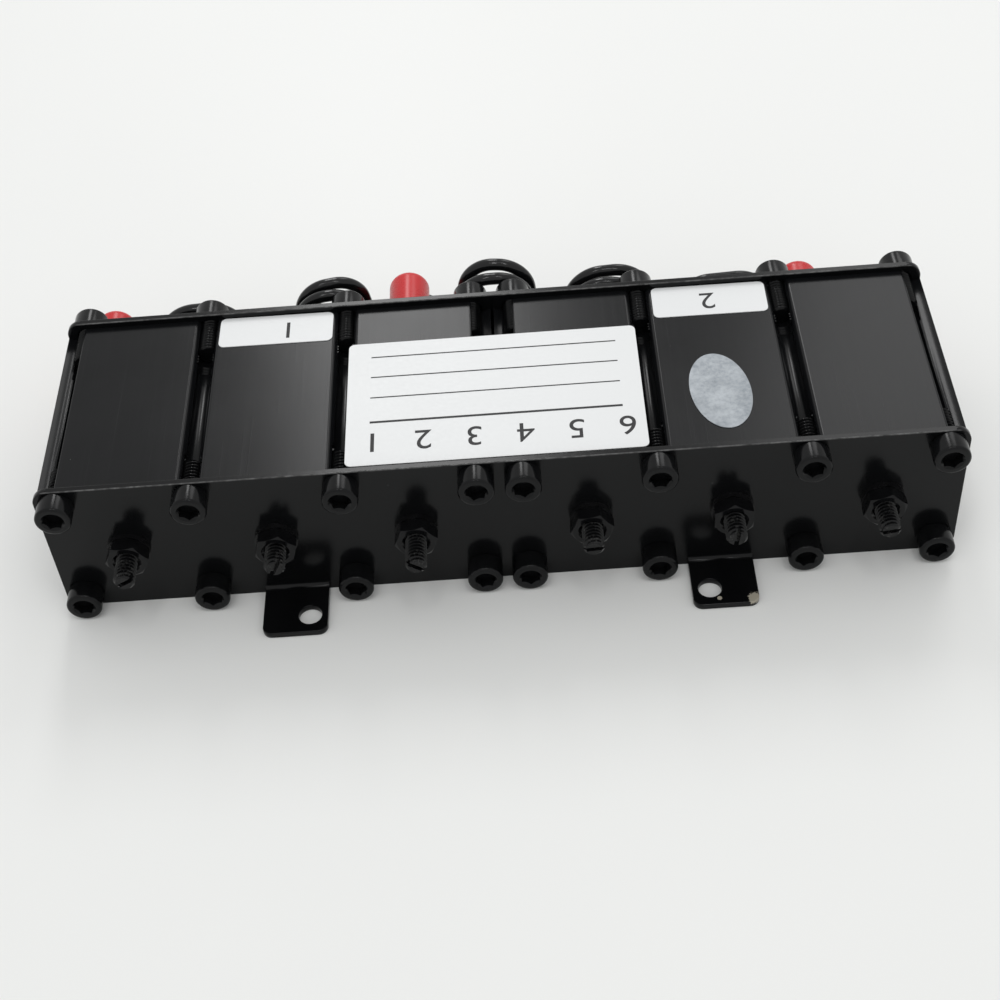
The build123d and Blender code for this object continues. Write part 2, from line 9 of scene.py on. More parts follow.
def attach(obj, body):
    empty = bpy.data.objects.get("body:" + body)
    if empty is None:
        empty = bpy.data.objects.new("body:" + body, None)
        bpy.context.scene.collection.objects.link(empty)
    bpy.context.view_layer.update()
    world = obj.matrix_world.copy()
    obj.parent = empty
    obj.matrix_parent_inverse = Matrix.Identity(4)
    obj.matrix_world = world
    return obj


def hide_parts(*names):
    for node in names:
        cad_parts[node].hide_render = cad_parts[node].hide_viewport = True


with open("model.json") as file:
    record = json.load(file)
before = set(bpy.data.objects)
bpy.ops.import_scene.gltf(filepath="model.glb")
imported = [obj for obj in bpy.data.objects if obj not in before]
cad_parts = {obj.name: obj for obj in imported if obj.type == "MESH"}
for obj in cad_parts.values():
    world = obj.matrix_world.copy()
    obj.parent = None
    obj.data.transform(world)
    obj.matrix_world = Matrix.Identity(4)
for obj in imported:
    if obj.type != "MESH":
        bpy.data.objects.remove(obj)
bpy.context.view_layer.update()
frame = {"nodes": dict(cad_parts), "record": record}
mm = 0.001  # sizes below are in millimetres, the scene is in metres
tiny = 1e-6
noTurn = Matrix.Identity(4)

# what several pieces share; columns count from the middle of the case to both sides
case = {
    "frontFace": -28.5, "backFace": 20.3, "rows": (3.64, 28.16),
    "slotColumns": (29.47, 57.53), "gutterColumns": (4.35, 82.65),
    "crest": 2.06, "pitch": 0.794,
}


def shade(r, g, b):
    return (r, g, b, 1.0)


# red, green and blue of each finish: darker, lighter
tints = {
    "case": ((0.0035, 0.0037, 0.0042), (0.0065, 0.0068, 0.0076)),
    "plate": ((0.0022, 0.0024, 0.0027), (0.0036, 0.0038, 0.0042)),
    # the grey of bare metal also colours the band on the plates' front-facing top edges, which is
    # partly rubbed paint and partly a painted highlight
    "bareMetalAndEdgeHighlight": ((0.20, 0.20, 0.20), (0.40, 0.37, 0.30)),
    "screw": ((0.0025, 0.0027, 0.003), (0.006, 0.0062, 0.0067)),
    "collar": ((0.003, 0.003, 0.0034), (0.007, 0.007, 0.0075)),
    "nut": ((0.0025, 0.0026, 0.003), (0.0055, 0.0057, 0.0062)),
    "rod": ((0.0035, 0.0036, 0.004), (0.07, 0.07, 0.068)),
    "cable": ((0.003, 0.0032, 0.0036), (0.006, 0.0062, 0.0067)),
    "cap": ((0.49, 0.012, 0.015), (0.57, 0.018, 0.021)),
    "label": ((0.69, 0.70, 0.705), (0.735, 0.745, 0.75)),
    "ink": ((0.008, 0.008, 0.009), (0.04, 0.04, 0.044)),
    "foil": ((0.16, 0.18, 0.20), (0.36, 0.385, 0.41)),
    "nickel": ((0.52, 0.50, 0.46), (0.66, 0.64, 0.60)),
    "silver": ((0.70, 0.70, 0.68), (0.82, 0.82, 0.80)),
    "gold": ((0.78, 0.60, 0.26), (0.88, 0.71, 0.36)),
    "insulator": ((0.70, 0.70, 0.67), (0.80, 0.80, 0.78)),
    "floor": ((0.78, 0.785, 0.775), (0.82, 0.825, 0.815)),
}


class Wire:  # a socket that sums and products can be written on
    def __init__(self, finish, socket):
        self.finish = finish
        self.socket = socket

    def join(self, operation, *values):
        return self.finish.node(
            "ShaderNodeMath", {"operation": operation}, dict(enumerate(values)))

    def __add__(self, other):
        return self.join("ADD", self, other)

    def __radd__(self, other):
        return self.join("ADD", other, self)

    def __sub__(self, other):
        return self.join("SUBTRACT", self, other)

    def __rsub__(self, other):
        return self.join("SUBTRACT", other, self)

    def __mul__(self, other):
        return self.join("MULTIPLY", self, other)

    def __rmul__(self, other):
        return self.join("MULTIPLY", other, self)

    def __gt__(self, other):
        return self.join("GREATER_THAN", self, other)

    def __lt__(self, other):
        return self.join("LESS_THAN", self, other)

    def __abs__(self):
        return self.join("ABSOLUTE", self)

    def atLeast(self, other):
        return self.join("MAXIMUM", self, other)


class Finish:  # one material, built round its Principled shader
    def __init__(self, name, **constants):
        self.material = bpy.data.materials.new(name)
        self.material.use_nodes = True
        self.tree = self.material.node_tree
        self.shader = self.tree.nodes["Principled BSDF"]
        for socket, value in constants.items():
            self.shader.inputs[socket.replace("_", " ")].default_value = value

    def node(self, kind, settings=None, values=None, output=0):
        made = self.tree.nodes.new(kind)
        for key, value in (settings or {}).items():
            setattr(made, key, value)
        for key, value in (values or {}).items():
            if isinstance(value, Wire):
                self.tree.links.new(value.socket, made.inputs[key])
            else:
                made.inputs[key].default_value = value
        return Wire(self, made.outputs[output])

    def place(self):
        return self.node("ShaderNodeTexCoord", output="Object")

    def axis(self, number):
        return self.node("ShaderNodeSeparateXYZ", {}, {0: self.place()}, output=number)

    def distanceTo(self, point):
        return self.node("ShaderNodeVectorMath", {"operation": "DISTANCE"}, {
            0: self.place(), 1: point}, output="Value")

    def stretched(self, scale):
        return self.node("ShaderNodeMapping", {}, {"Vector": self.place(), "Scale": scale})

    def noise(self, scale, detail=3.0, vector=None, roughness=0.5):
        return self.node("ShaderNodeTexNoise", {}, {
            "Vector": vector or self.place(), "Scale": scale, "Detail": detail,
            "Roughness": roughness})

    def between(self, value, low, high, start=0.0, end=1.0):
        return self.node("ShaderNodeMapRange", {"clamp": True}, {
            "Value": value, "From Min": low, "From Max": high, "To Min": start, "To Max": end})

    def blend(self, factor, first, second):
        return self.node(
            "ShaderNodeMix", {"data_type": "RGBA"}, {0: factor, 6: first, 7: second}, output=2)

    def tint(self, factor, name):
        dark, light = tints[name]
        return self.blend(factor, shade(*dark), shade(*light))

    def specks(self, scale, size, share):
        # tiny round dots, in a share of the cells of a cell pattern
        cells = {"Vector": self.place(), "Scale": scale}
        distance = self.node("ShaderNodeTexVoronoi", {}, cells, output="Distance")
        colour = self.node("ShaderNodeTexVoronoi", {}, cells, output="Color")
        chosen = self.node("ShaderNodeSeparateColor", {}, {0: colour}) < share
        return (distance < size * scale) * chosen

    def feed(self, **links):
        for socket, value in links.items():
            self.tree.links.new(value.socket, self.shader.inputs[socket.replace("_", " ")])

    def relief(self, height, distance, strength):
        self.feed(Normal=self.node("ShaderNodeBump", {}, {
            "Height": height, "Distance": distance, "Strength": strength}))


caseWear = {"drawnLines": shade(0.022, 0.023, 0.025), "dust": shade(0.30, 0.30, 0.28)}


def anodisedCase():
    f = Finish("anodisedCase", Metallic=0.0, Specular_IOR_Level=0.17)
    drawn = f.noise(1.0, 3, f.stretched((2600, 18, 2600)))  # lines of the die, along Y
    cloud = f.noise(55, 4)
    fine = f.noise(4200, 2)
    dust = f.specks(190, 0.00011, 0.05).atLeast(f.specks(520, 0.00006, 0.04))
    colourUnderDust = f.blend(
        f.between(drawn, 0.62, 0.8) * 0.3, f.tint(cloud, "case"), caseWear["drawnLines"])
    f.feed(Base_Color=f.blend(dust * 0.6, colourUnderDust, caseWear["dust"]))
    f.feed(Roughness=f.between(cloud + drawn * 0.5 + fine * 0.3, 0.5, 1.2, 0.17, 0.23))
    f.relief(drawn * 0.7 + fine * 0.3 + dust * 2, 0.000008, 0.35)
    return f.material


# in metres: heights of the light band along the front-facing top edges, which is partly rubbed
# paint and partly a painted highlight, the faces below it and how deep it goes on them;
# a chip on a tab has its place, where it fades in, its share of flakes and its level
plateWearAndHighlight = {
    "edge": (0.03155, 0.03172), "faces": (-0.0285, 0.0190), "band": 0.00022,
    "cornerChip": ((0.0468, -0.0393, 0.0013), (0.0030, 0.0004), 0.9, 1.42),
    "holeChip": ((0.0402, -0.0388, 0.0013), (0.0010, 0.0002), 0.6, 1.25),
    "dust": shade(0.28, 0.275, 0.26),
}


def chipped(f, coarse, flakes, place, reach, share, level):
    return f.between(f.distanceTo(place), *reach) + coarse * 0.6 + flakes * share > level


def paintedPlate():
    f = Finish("paintedPlate", Metallic=0.0, Specular_IOR_Level=0.2)
    wearAndHighlight = plateWearAndHighlight
    y = f.axis(1)
    peel = f.noise(900, 2)
    cloud = f.noise(42, 4)
    coarse = f.noise(700, 3, roughness=0.65)
    flakes = f.noise(2100, 4, roughness=0.75)
    along = f.noise(1.0, 3, f.stretched((520, 900, 900)))
    nearFront, nearBack = (abs(y - face) < wearAndHighlight["band"] for face in wearAndHighlight["faces"])
    rim = f.between(f.axis(2), *wearAndHighlight["edge"]) * nearFront.atLeast(nearBack)
    patches = f.between(coarse, 0.4, 0.6) * 0.4 + 0.3
    # the band along the front-facing top edges is partly rubbed paint and partly a painted
    # highlight
    rubbedAndHighlit = rim * patches * f.between(along, 0.3, 0.55, 0.45, 1.0)
    corner = chipped(f, coarse, flakes, *wearAndHighlight["cornerChip"])
    chips = corner.atLeast(chipped(f, coarse, flakes, *wearAndHighlight["holeChip"]))
    lighterMarks = rubbedAndHighlit.atLeast(chips)
    dust = f.specks(95, 0.00016, 0.05).atLeast(f.specks(330, 0.00008, 0.03))
    colourUnderDust = f.blend(lighterMarks * 0.8, f.tint(cloud, "plate"), f.tint(chips, "bareMetalAndEdgeHighlight"))
    f.feed(Base_Color=f.blend(dust * 0.5, colourUnderDust, wearAndHighlight["dust"]))
    f.feed(Roughness=f.between(cloud + peel * 0.4, 0.4, 1.0, 0.14, 0.2))
    f.relief(peel + lighterMarks * -1.5 + dust, 0.000015, 0.35)
    return f.material


def oxideSteel(name, tint, smoothest, roughest, level):
    f = Finish(name, Metallic=0.0, Specular_IOR_Level=level)
    cloud = f.noise(260, 4)
    grain = f.noise(3800, 3, roughness=0.6)
    turned = f.noise(1.0, 2, f.stretched((300, 5200, 300)))  # turning marks round the axis
    f.feed(Base_Color=f.tint(f.between(cloud * 0.7 + grain * 0.4, 0.4, 0.8), tint))
    f.feed(Roughness=f.between(cloud + grain * 0.5, 0.5, 1.1, smoothest, roughest))
    f.relief(grain * 0.6 + turned * 0.5, 0.00001, 0.5)
    return f.material


def tuningSteel():
    f = Finish("tuningSteel", Metallic=0.0, Specular_IOR_Level=0.24)
    grain = f.noise(2600, 3, roughness=0.65)
    cloud = f.noise(500, 3)
    lighterMarks = f.between(grain * 0.6 + cloud * 0.5, 0.6, 0.72) * 0.7
    f.feed(Base_Color=f.tint(lighterMarks, "rod"))
    f.feed(Metallic=lighterMarks * 0.6)
    f.feed(Roughness=f.between(grain, 0.3, 0.7, 0.14, 0.26))
    f.relief(grain, 0.00001, 0.4)
    return f.material


def cableJacket():
    f = Finish("cableJacket", Metallic=0.0, Specular_IOR_Level=0.34)
    cloud = f.noise(180, 3)
    fine = f.noise(2600, 2)
    f.feed(Base_Color=f.tint(cloud, "cable"))
    f.feed(Roughness=f.between(cloud + fine * 0.3, 0.3, 0.9, 0.1, 0.2))
    f.relief(fine + cloud * 0.5, 0.00001, 0.4)
    return f.material


def capVinyl():
    f = Finish("capVinyl", Metallic=0.0, Specular_IOR_Level=0.35,
               Subsurface_Weight=0.2, Subsurface_Scale=0.001, Subsurface_Radius=(1.0, 0.25, 0.2))
    cloud = f.noise(160, 3)
    fine = f.noise(2400, 2)
    f.feed(Base_Color=f.tint(cloud, "cap"))
    f.feed(Roughness=f.between(fine + cloud, 0.5, 1.4, 0.2, 0.34))
    f.relief(fine * 0.5 + cloud, 0.00002, 0.4)
    return f.material


def labelPaper():
    f = Finish("labelPaper", Metallic=0.0, Specular_IOR_Level=0.4)
    fibre = f.noise(1400, 4)
    cloud = f.noise(35, 3)
    f.feed(Base_Color=f.tint(cloud, "label"))
    f.feed(Roughness=f.between(fibre, 0.3, 0.7, 0.34, 0.44))
    f.relief(fibre * 0.4 + cloud, 0.00003, 0.3)
    return f.material


def labelInk():
    f = Finish("labelInk", Metallic=0.0, Specular_IOR_Level=0.3)
    ribbon = f.noise(1.0, 3, f.stretched((700, 3200, 3200)))
    f.feed(Base_Color=f.tint(f.between(ribbon, 0.5, 0.75), "ink"))
    f.feed(Roughness=f.between(ribbon, 0.3, 0.7, 0.4, 0.55))
    return f.material


def foilSticker():
    f = Finish("foilSticker", Metallic=0.35, Specular_IOR_Level=0.5)
    flake = f.noise(1100, 4, roughness=0.7)
    cloud = f.noise(220, 4)
    f.feed(Base_Color=f.tint(f.between(flake * 0.6 + cloud * 0.5, 0.4, 0.7), "foil"))
    f.feed(Roughness=f.between(flake, 0.3, 0.7, 0.3, 0.5))
    f.relief(flake, 0.00002, 0.4)
    return f.material


def brightMetal(name, tint, smoothest, roughest):
    f = Finish(name, Metallic=1.0)
    cloud = f.noise(300, 4)
    grain = f.noise(3000, 3)
    f.feed(Base_Color=f.tint(cloud, tint))
    f.feed(Roughness=f.between(grain + cloud, 0.6, 1.3, smoothest, roughest))
    f.relief(grain, 0.00001, 0.4)
    return f.material


def whiteInsulator():
    f = Finish("whiteInsulator", Metallic=0.0, Specular_IOR_Level=0.4)
    cloud = f.noise(260, 3)
    f.feed(Base_Color=f.tint(cloud, "insulator"))
    f.feed(Roughness=f.between(cloud, 0.3, 0.7, 0.4, 0.5))
    f.relief(cloud, 0.00002, 0.3)
    return f.material


def paleFloor():
    f = Finish("paleFloor", Metallic=0.0, Specular_IOR_Level=0.3)
    cloud = f.noise(6, 3)
    f.feed(Base_Color=f.tint(cloud, "floor"))
    f.feed(Roughness=f.between(cloud, 0.3, 0.7, 0.38, 0.48))
    return f.material


# the record's material slots
finishes = {
    "case_black": anodisedCase(),
    "plate_black": paintedPlate(),
    "screw_black": oxideSteel("blackScrew", "screw", 0.14, 0.24, 0.18),
    "collar_black": oxideSteel("blackCollar", "collar", 0.22, 0.32, 0.3),
    "nut_black": oxideSteel("blackNut", "nut", 0.12, 0.22, 0.19),
    "tuning_black": tuningSteel(),
    "plated_brass": brightMetal("nickelPlate", "nickel", 0.2, 0.34),
    "silver_wire": brightMetal("silverWire", "silver", 0.16, 0.3),
    "gold_plating": brightMetal("goldPlate", "gold", 0.18, 0.3),
    "white_insulator": whiteInsulator(),
    "cable_black": cableJacket(),
    "cap_red": capVinyl(),
    "label_white": labelPaper(),
    "sticker_silver": foilSticker(),
}
inkFinish = labelInk()
for entry in frame["record"]["subparts"]:
    node = frame["nodes"][entry["node"]]
    node.data.materials.clear()
    node.data.materials.append(finishes[entry["material_slot"]])
print("finishes made")


def meshOf(bm, name):
    mesh = bpy.data.meshes.new(name)
    bm.to_mesh(mesh)
    bm.free()
    return mesh


def placed(name, data):
    made = bpy.data.objects.new(name, data)
    bpy.context.scene.collection.objects.link(made)
    return made


def evaluatedMesh(made):
    bpy.context.view_layer.update()
    return bpy.data.meshes.new_from_object(
        made.evaluated_get(bpy.context.evaluated_depsgraph_get()))


flatFaces = {"bigArea": 40 * mm * mm, "squareOn": 0.99999}  # these keep their own normals


def newPiece(name, bm, slotName, body="case", smooth=35, replaced=(), squareFlats=False,
             finish=None):
    mesh = meshOf(bm, name)
    mesh.shade_smooth()
    mesh.set_sharp_from_angle(angle=radians(smooth))
    for face in mesh.polygons:
        squareOn = squareFlats and max(abs(n) for n in face.normal) > flatFaces["squareOn"]
        if squareOn or face.area > flatFaces["bigArea"]:
            for index in face.loop_indices:
                mesh.edges[mesh.loops[index].edge_index].use_edge_sharp = True
    mesh.materials.append(finish or finishes[slotName])
    piece = placed(name, mesh)
    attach(piece, body)
    if replaced:
        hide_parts(*replaced)


def bothSides(columns):
    return sorted([-x for x in columns] + list(columns))


def lathe(points, steps):
    # closed profile of (radius, y) spun round Y
    bm = bmesh.new()
    verts = [bm.verts.new((r, y, 0)) for r, y in points]
    for a, b in zip(verts, verts[1:]):
        bm.edges.new((a, b))
    bmesh.ops.spin(
        bm, geom=bm.verts[:] + bm.edges[:], cent=(0, 0, 0), axis=(0, 1, 0),
        angle=2 * pi, steps=steps, use_merge=True)
    bmesh.ops.remove_doubles(bm, verts=bm.verts, dist=1e-7)
    bmesh.ops.recalc_face_normals(bm, faces=bm.faces)
    return bm


def sliced(bm, point, normal):
    # takes off what lies beyond a plane and gives the edges of the cut
    cut = bmesh.ops.bisect_plane(
        bm, geom=bm.verts[:] + bm.edges[:] + bm.faces[:], plane_co=point, plane_no=normal,
        clear_outer=True)
    return [g for g in cut["geom_cut"] if isinstance(g, bmesh.types.BMEdge)]


threadShape = ((0.0, "root"), (0.16, "root"), (0.5, "crest"), (0.6, "crest"))  # share of the pitch


def threaded(root, start, end, steps):
    # right-hand thread along Y from start to end, closed at both ends
    radii = {"crest": case["crest"] * mm, "root": root * mm}
    start, end, pitch = start * mm, end * mm, case["pitch"] * mm
    bm = bmesh.new()
    verts = []
    y = start - 2 * pitch
    while y < end + pitch:
        for share, level in threadShape:
            verts.append(bm.verts.new((radii[level], y + share * pitch, 0)))
        y += pitch
    for a, b in zip(verts, verts[1:]):
        bm.edges.new((a, b))
    bmesh.ops.spin(
        bm, geom=bm.verts[:] + bm.edges[:], cent=(0, 0, 0), axis=(0, 1, 0),
        dvec=(0, pitch / steps, 0), angle=2 * pi, steps=steps, use_merge=False)
    bmesh.ops.remove_doubles(bm, verts=bm.verts, dist=1e-7)
    for place, normal in ((start, (0, -1, 0)), (end, (0, 1, 0))):
        bmesh.ops.edgeloop_fill(bm, edges=sliced(bm, (0, place, 0), normal))
    bmesh.ops.recalc_face_normals(bm, faces=bm.faces)
    return bm


def cutAway(bm, cutter):
    # takes one closed shape out of another
    body = placed("body", meshOf(bm, "body"))
    tool = placed("tool", meshOf(cutter, "tool"))
    step = body.modifiers.new("cut", "BOOLEAN")
    step.operation = "DIFFERENCE"
    step.solver = "EXACT"
    step.object = tool
    out = bmesh.new()
    out.from_mesh(evaluatedMesh(body))
    for made in (body, tool):
        bpy.data.objects.remove(made)
    return out


def addCopy(target, mesh, matrix):
    before = len(target.verts)
    target.from_mesh(mesh)
    target.verts.ensure_lookup_table()
    bmesh.ops.transform(target, matrix=matrix, verts=target.verts[before:])


# widths that the sharp edges are rounded by; tabRoots are the x of the tabs' sides
caseEdges = {
    "caseRound": 0.10, "topRound": 0.38, "plateRound": 0.16, "tabRoots": (35.15, 47.75),
    "rootReach": (0.05, 0.2), "sharpFrom": 28, "longFrom": 20, "merge": 0.002, "flatten": 0.4,
}


def sharpEdges(bm):
    return [e for e in bm.edges if len(e.link_faces) == 2
            and e.calc_face_angle(0) > radians(caseEdges["sharpFrom"])]


def edgesAtEnds(bm, axis):
    # edges that lie in the lowest or in the highest plane across an axis
    places = [v.co[axis] for v in bm.verts]
    low, high = min(places), max(places)
    return {e for e in bm.edges
            if all(min(v.co[axis] - low, high - v.co[axis]) < tiny for v in e.verts)}


def atTabRoot(edge):
    across, deep = caseEdges["rootReach"]
    return any(
        abs(abs(v.co.x) - root * mm) < across * mm
        and abs(v.co.y - case["frontFace"] * mm) < deep * mm
        for v in edge.verts for root in caseEdges["tabRoots"])


def roundEdges(bm, edges, width, segments):
    bmesh.ops.bevel(
        bm, geom=edges, offset=width * mm, offset_type="OFFSET", segments=segments,
        profile=0.5, affect="EDGES", material=-1, clamp_overlap=False)


def softened(nodeName, width, longWidth=0.0):
    # copy of a CAD node with its sharp edges rounded, the long ones above and below more
    bm = bmesh.new()
    bm.from_mesh(frame["nodes"][nodeName].data)
    bmesh.ops.remove_doubles(bm, verts=bm.verts, dist=caseEdges["merge"] * mm)
    bmesh.ops.dissolve_limit(
        bm, angle_limit=radians(caseEdges["flatten"]), verts=bm.verts, edges=bm.edges)
    skipped = set()
    if longWidth:
        outer = edgesAtEnds(bm, 2)
        roundEdges(bm, [
            e for e in sharpEdges(bm) if e in outer and e.calc_length() > caseEdges["longFrom"] * mm
            and abs(e.verts[0].co.x - e.verts[1].co.x) < tiny], longWidth, 4)
        skipped = edgesAtEnds(bm, 1)  # the ends lie against the plates
    roundEdges(bm, [
        e for e in sharpEdges(bm) if e not in skipped and not atTabRoot(e)], width, 2)
    return bm


for side in ("receive", "transmit"):
    block = f"{side}_cavity_block"
    newPiece(f"{side}Case", softened(block, caseEdges["caseRound"], caseEdges["topRound"]),
             "case_black", smooth=30, replaced=[block], squareFlats=True)
for plate in ("front", "back"):
    newPiece(f"{plate}Plate", softened(f"{plate}_plate", caseEdges["plateRound"]),
             "plate_black", smooth=30, replaced=[f"{plate}_plate"], squareFlats=True)
print("case and plates made")

# head, mouth and root are radii, flats is the width of the key
capScrew = {
    "head": 3.43, "height": 4.17, "rim": 0.55, "foot": 0.12, "flats": 3.57, "depth": 2.1,
    "mouth": 2.22, "mouthSlope": 0.5, "root": 1.55, "sunk": 0.5, "frontLength": 7.94,
    "backLength": 9.53, "headSteps": 48, "mouthSteps": 40, "threadSteps": 20, "turnStep": 23,
    "rimAngles": (0, 0.32, 0.65, 1.0, 1.3, pi / 2),
}


def coneAlongY(radiusOne, radiusTwo, depth, segments, turn, y):
    bm = bmesh.new()
    bmesh.ops.create_cone(
        bm, cap_ends=True, segments=segments, radius1=radiusOne, radius2=radiusTwo, depth=depth)
    bmesh.ops.rotate(
        bm, verts=bm.verts, cent=(0, 0, 0), matrix=Matrix.Rotation(turn, 3, "X"))
    bmesh.ops.translate(bm, verts=bm.verts, vec=(0, y, 0))
    return bm


def capScrewMesh(length):
    s = capScrew
    top = -s["height"] * mm
    rim = s["rim"] * mm
    radius = s["head"] * mm
    foot = s["foot"] * mm
    corner = [
        (radius - rim + rim * sin(a), top + rim - rim * cos(a))
        for a in s["rimAngles"]]
    outline = [(0, top)] + corner + [(radius, -foot), (radius - foot, 0), (0, 0)]
    head = lathe(outline, s["headSteps"])
    hexagon = s["flats"] / 2 / cos(pi / 6) * mm
    socket = coneAlongY(hexagon, hexagon, 2 * s["depth"] * mm, 6, pi / 2, top)
    wide = (s["mouth"] + s["mouthSlope"]) * mm
    narrow = (s["mouth"] - s["mouthSlope"]) * mm
    mouth = coneAlongY(
        wide, narrow, 2 * s["mouthSlope"] * mm, s["mouthSteps"], -pi / 2, top)
    head = cutAway(cutAway(head, socket), mouth)
    shank = threaded(s["root"], -s["sunk"], length, s["threadSteps"])
    whole = bmesh.new()
    addCopy(whole, meshOf(head, "head"), noTurn)
    addCopy(whole, meshOf(shank, "shank"), noTurn)
    return meshOf(whole, "capScrew")


def screwSet(plate, facing):
    single = capScrewMesh(capScrew[f"{plate}Length"])
    y = case[f"{plate}Face"]
    columns = bothSides(case["slotColumns"] + case["gutterColumns"])
    bm = bmesh.new()
    for number, (x, z) in enumerate((x, z) for z in case["rows"] for x in columns):
        turn = Matrix.Rotation(radians(-number * capScrew["turnStep"]) + pi / 6, 4, "Y")
        place = Matrix.Translation((x * mm, y * mm, z * mm))
        addCopy(bm, single, place @ Matrix.Rotation(facing, 4, "Z") @ turn)
    newPiece(f"{plate}CapScrews", bm, "screw_black", smooth=32, replaced=[f"{plate}_plate_screws"])


screwSet("front", 0)
screwSet("back", pi)
print("cap screws made")

# reach: how far each rod stands out of the plate; turns: degrees that its slot is turned by
tuning = {
    "places": (-71.7, -43.35, -16.65, 16.65, 43.35, 71.7), "height": 15.5,
    "reach": (9.1, 8.1, 9.9, 8.4, 8.4, 9.0), "turns": (28, 62, -35, 4, 82, 8),
    "root": 1.52, "length": 25.0, "tip": 1.55, "steps": 24,
    "slotLength": 6, "slotWidth": 0.9, "slotDepth": 1.3,
}
# corner and face: radii at both ends of the chamfer; seat: gap from the plate to the nut
lockNut = {
    "flats": 7.3, "corner": 4.5, "face": 3.62, "chamfer": 0.46, "thickness": 2.7,
    "bore": 2.11, "sink": 0.62, "seat": 1.12, "steps": 72, "turns": (3, 15, 9, 8, 30, 16),
}


def atScrew(bm, number, distance):
    # moves a piece made round Y to its tuning screw, a distance before the front plate
    bmesh.ops.translate(bm, verts=bm.verts, vec=(
        tuning["places"][number] * mm, (case["frontFace"] - distance) * mm, tuning["height"] * mm))


def tuningScrew(number):
    t = tuning
    rod = threaded(t["root"], 0, t["length"], t["steps"])
    for v in rod.verts:  # tip turned to a small cone
        limit = (t["tip"] + v.co.y / mm) * mm
        reach = Vector((v.co.x, v.co.z)).length
        if reach > limit:
            v.co.x *= limit / reach
            v.co.z *= limit / reach
    slot = bmesh.new()
    bmesh.ops.create_cube(slot, size=1)
    bmesh.ops.scale(slot, verts=slot.verts, vec=(
        t["slotLength"] * mm, 2 * t["slotDepth"] * mm, t["slotWidth"] * mm))
    bmesh.ops.rotate(
        slot, verts=slot.verts, cent=(0, 0, 0),
        matrix=Matrix.Rotation(radians(-t["turns"][number]), 3, "Y"))
    rod = cutAway(rod, slot)
    atScrew(rod, number, t["reach"][number])
    node = f"tuning_screw_{number + 1}"
    newPiece(f"tuningScrew{number + 1}", rod, "tuning_black", node, 25, [node])


def lockNutPiece(number):
    n = lockNut
    end = -n["thickness"]
    bore, sink, chamfer = n["bore"], n["sink"], n["chamfer"]
    profile = [
        (bore, end + sink), (bore, -sink), (bore + sink, 0), (n["face"], 0),
        (n["corner"], -chamfer), (n["corner"], end + chamfer),
        (n["face"], end), (bore + sink, end), (bore, end + sink),
    ]
    bm = lathe([(r * mm, y * mm) for r, y in profile], n["steps"])
    for corner in range(6):
        angle = radians(60 * corner + 30 + n["turns"][number])
        normal = Vector((cos(angle), 0, sin(angle)))
        bmesh.ops.edgeloop_fill(bm, edges=sliced(bm, normal * n["flats"] / 2 * mm, normal))
    bmesh.ops.remove_doubles(bm, verts=bm.verts, dist=1e-7)
    bmesh.ops.recalc_face_normals(bm, faces=bm.faces)
    atScrew(bm, number, n["seat"])
    node = f"lock_nut_{number + 1}"
    newPiece(f"lockNut{number + 1}", bm, "nut_black", node, 25, [node])


for number in range(6):
    tuningScrew(number)
    lockNutPiece(number)
print("tuning screws and lock nuts made")

# threads of the open screw channels, in the stretches that the cap screws don't reach
channelThread = {
    "ridge": ((2.13, 0.0), (1.78, 0.3), (1.78, 0.42), (2.13, 0.72)), "steps": 20, "endRoom": 0.8,
    "slotFloor": 29.3, "underFloor": 2.5, "gutterWall": 0.21,
    "stretches": ((-20.5, -18.4), (7.1, 10.7)),
}


def channelRidge(start, end):
    c = channelThread
    bm = bmesh.new()
    ridge = bm.faces.new([bm.verts.new((r * mm, (start + y) * mm, 0)) for r, y in c["ridge"]])
    turns = int((end - start - c["endRoom"]) / case["pitch"])
    bmesh.ops.spin(
        bm, geom=[ridge], cent=(0, 0, 0), axis=(0, 1, 0),
        dvec=(0, case["pitch"] / c["steps"] * mm, 0), angle=2 * pi * turns,
        steps=c["steps"] * turns, use_merge=False)
    bmesh.ops.recalc_face_normals(bm, faces=bm.faces)
    return bm


def channelThreads():
    c = channelThread
    whole = bmesh.new()
    for start, end in c["stretches"]:
        for upper, z in enumerate(case["rows"]):
            for x in bothSides(case["slotColumns"] + case["gutterColumns"]):
                bm = channelRidge(start, end)
                bmesh.ops.translate(bm, verts=bm.verts, vec=(x * mm, 0, z * mm))
                if abs(x) in case["slotColumns"]:
                    height = c["slotFloor"] if upper else c["underFloor"]
                    rim = sliced(bm, (0, 0, height * mm), (0, 0, 1 if upper else -1))
                else:
                    atEnd = abs(x) == max(case["gutterColumns"])
                    outward = 1 if atEnd == (x > 0) else -1
                    rim = sliced(bm, ((x + outward * c["gutterWall"]) * mm, 0, 0), (outward, 0, 0))
                bmesh.ops.holes_fill(bm, edges=rim, sides=8)
                addCopy(whole, meshOf(bm, "ridge"), noTurn)
    newPiece("channelThreads", whole, "case_black", smooth=30)


channelThreads()
print("channel threads made")

# y counts from the middle of the case's depth; the figures read from behind
labelPrint = {
    "height": 30.66, "ink": 0.02, "middle": -4.1, "turn": 180,
    "figures": {
        "cavityNumbers": ("6   5   4   3   2   1", 0.6, -15.6, 7.2),
        "receiveNumber": ("1", -41.0, 18.4, 6.8),
        "transmitNumber": ("2", 43.2, 18.3, 6.8),
    },
    "rules": ((-10.4, 0.55), (-3.6, 0.3), (2.2, 0.3), (8.0, 0.3)), "ruleLength": 48.0,
}


